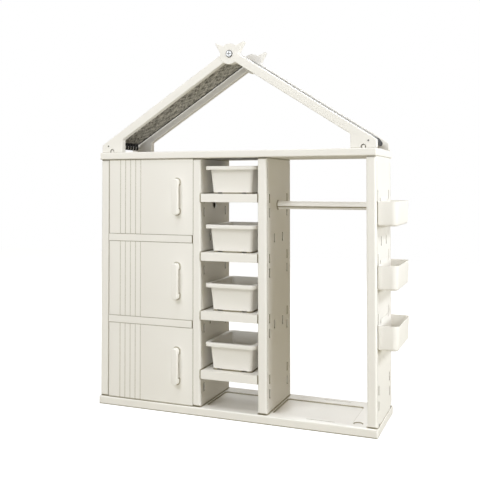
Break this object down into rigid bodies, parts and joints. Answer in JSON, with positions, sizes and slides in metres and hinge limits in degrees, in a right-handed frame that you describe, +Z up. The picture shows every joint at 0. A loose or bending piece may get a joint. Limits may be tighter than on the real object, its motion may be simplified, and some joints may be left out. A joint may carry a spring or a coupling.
{
  "type": "costume storage closet",
  "caption": "Free-standing children's costume closet with a gable roof frame and cloth, door cabinet, bin shelves, hanging bay with a rail and hook-on side baskets.",
  "frame": {"origin": "middle of the base tray's footprint on the floor", "axes": "+Z up, -Y towards the doors (front), +X towards the side baskets (right seen from the front)"},
  "size_m": [1.2753, 0.348, 1.5193],
  "materials": {
    "cream_plastic": "satin",
    "screw_steel": "satin",
    "bolt_chrome": "polished",
    "roof_cloth": "matte",
    "black_webbing": "matte"
  },
  "bodies": {
    "closet": {"base_tray": "cream_plastic", "top_board": "cream_plastic", "left_side_panel": "cream_plastic", "left_divider": "cream_plastic", "right_divider": "cream_plastic", "right_side_panel": "cream_plastic", "lower_cabinet_shelf": "cream_plastic", "upper_cabinet_shelf": "cream_plastic", "cabinet_back": "cream_plastic", "bin_shelf_1": "cream_plastic", "bin_shelf_2": "cream_plastic", "bin_shelf_3": "cream_plastic", "bin_shelf_4": "cream_plastic", "door_catches": "cream_plastic", "clothes_rail": "cream_plastic", "front_left_rafter": "cream_plastic", "front_right_rafter": "cream_plastic", "rear_left_rafter": "cream_plastic", "rear_right_rafter": "cream_plastic", "ridge_bar": "cream_plastic", "left_eave_bar": "cream_plastic", "right_eave_bar": "cream_plastic", "foot_caps": "cream_plastic", "panel_plugs": "cream_plastic", "bar_screws": "screw_steel", "panel_screws": "screw_steel", "apex_bolts": "bolt_chrome", "roof_cloth": "roof_cloth", "left_cloth_loops": "black_webbing", "right_cloth_loops": "black_webbing"},
    "lower_door_body": {"lower_door": "cream_plastic", "lower_door_handle": "cream_plastic", "lower_door_pins": "screw_steel", "lower_door_plate": "screw_steel"},
    "middle_door_body": {"middle_door": "cream_plastic", "middle_door_handle": "cream_plastic", "middle_door_pins": "screw_steel", "middle_door_plate": "screw_steel"},
    "upper_door_body": {"upper_door": "cream_plastic", "upper_door_handle": "cream_plastic", "upper_door_pins": "screw_steel", "upper_door_plate": "screw_steel"},
    "bin_1_body": {"bin_1": "cream_plastic"},
    "bin_2_body": {"bin_2": "cream_plastic"},
    "bin_3_body": {"bin_3": "cream_plastic"},
    "bin_4_body": {"bin_4": "cream_plastic"},
    "side_basket_1_body": {"side_basket_1": "cream_plastic"},
    "side_basket_2_body": {"side_basket_2": "cream_plastic"},
    "side_basket_3_body": {"side_basket_3": "cream_plastic"}
  },
  "joints": [
    {"name": "lower_door_hinge", "type": "hinge", "parent": "closet", "child": "lower_door_body", "pos_m": [-0.546, -0.148, 0.1927], "axis": [0, 0, -1], "range_deg": [0, 105]},
    {"name": "middle_door_hinge", "type": "hinge", "parent": "closet", "child": "middle_door_body", "pos_m": [-0.546, -0.148, 0.541], "axis": [0, 0, -1], "range_deg": [0, 105]},
    {"name": "upper_door_hinge", "type": "hinge", "parent": "closet", "child": "upper_door_body", "pos_m": [-0.546, -0.148, 0.8893], "axis": [0, 0, -1], "range_deg": [0, 105]},
    {"name": "bin_1_slide", "type": "slide", "parent": "closet", "child": "bin_1_body", "axis": [0, -1, 0], "range_m": [0, 0.25]},
    {"name": "bin_2_slide", "type": "slide", "parent": "closet", "child": "bin_2_body", "axis": [0, -1, 0], "range_m": [0, 0.25]},
    {"name": "bin_3_slide", "type": "slide", "parent": "closet", "child": "bin_3_body", "axis": [0, -1, 0], "range_m": [0, 0.25]},
    {"name": "bin_4_slide", "type": "slide", "parent": "closet", "child": "bin_4_body", "axis": [0, -1, 0], "range_m": [0, 0.25]},
    {"name": "side_basket_1_lift", "type": "slide", "parent": "closet", "child": "side_basket_1_body", "axis": [0, 0, 1], "range_m": [0, 0.018]},
    {"name": "side_basket_2_lift", "type": "slide", "parent": "closet", "child": "side_basket_2_body", "axis": [0, 0, 1], "range_m": [0, 0.018]},
    {"name": "side_basket_3_lift", "type": "slide", "parent": "closet", "child": "side_basket_3_body", "axis": [0, 0, 1], "range_m": [0, 0.018]}
  ]
}
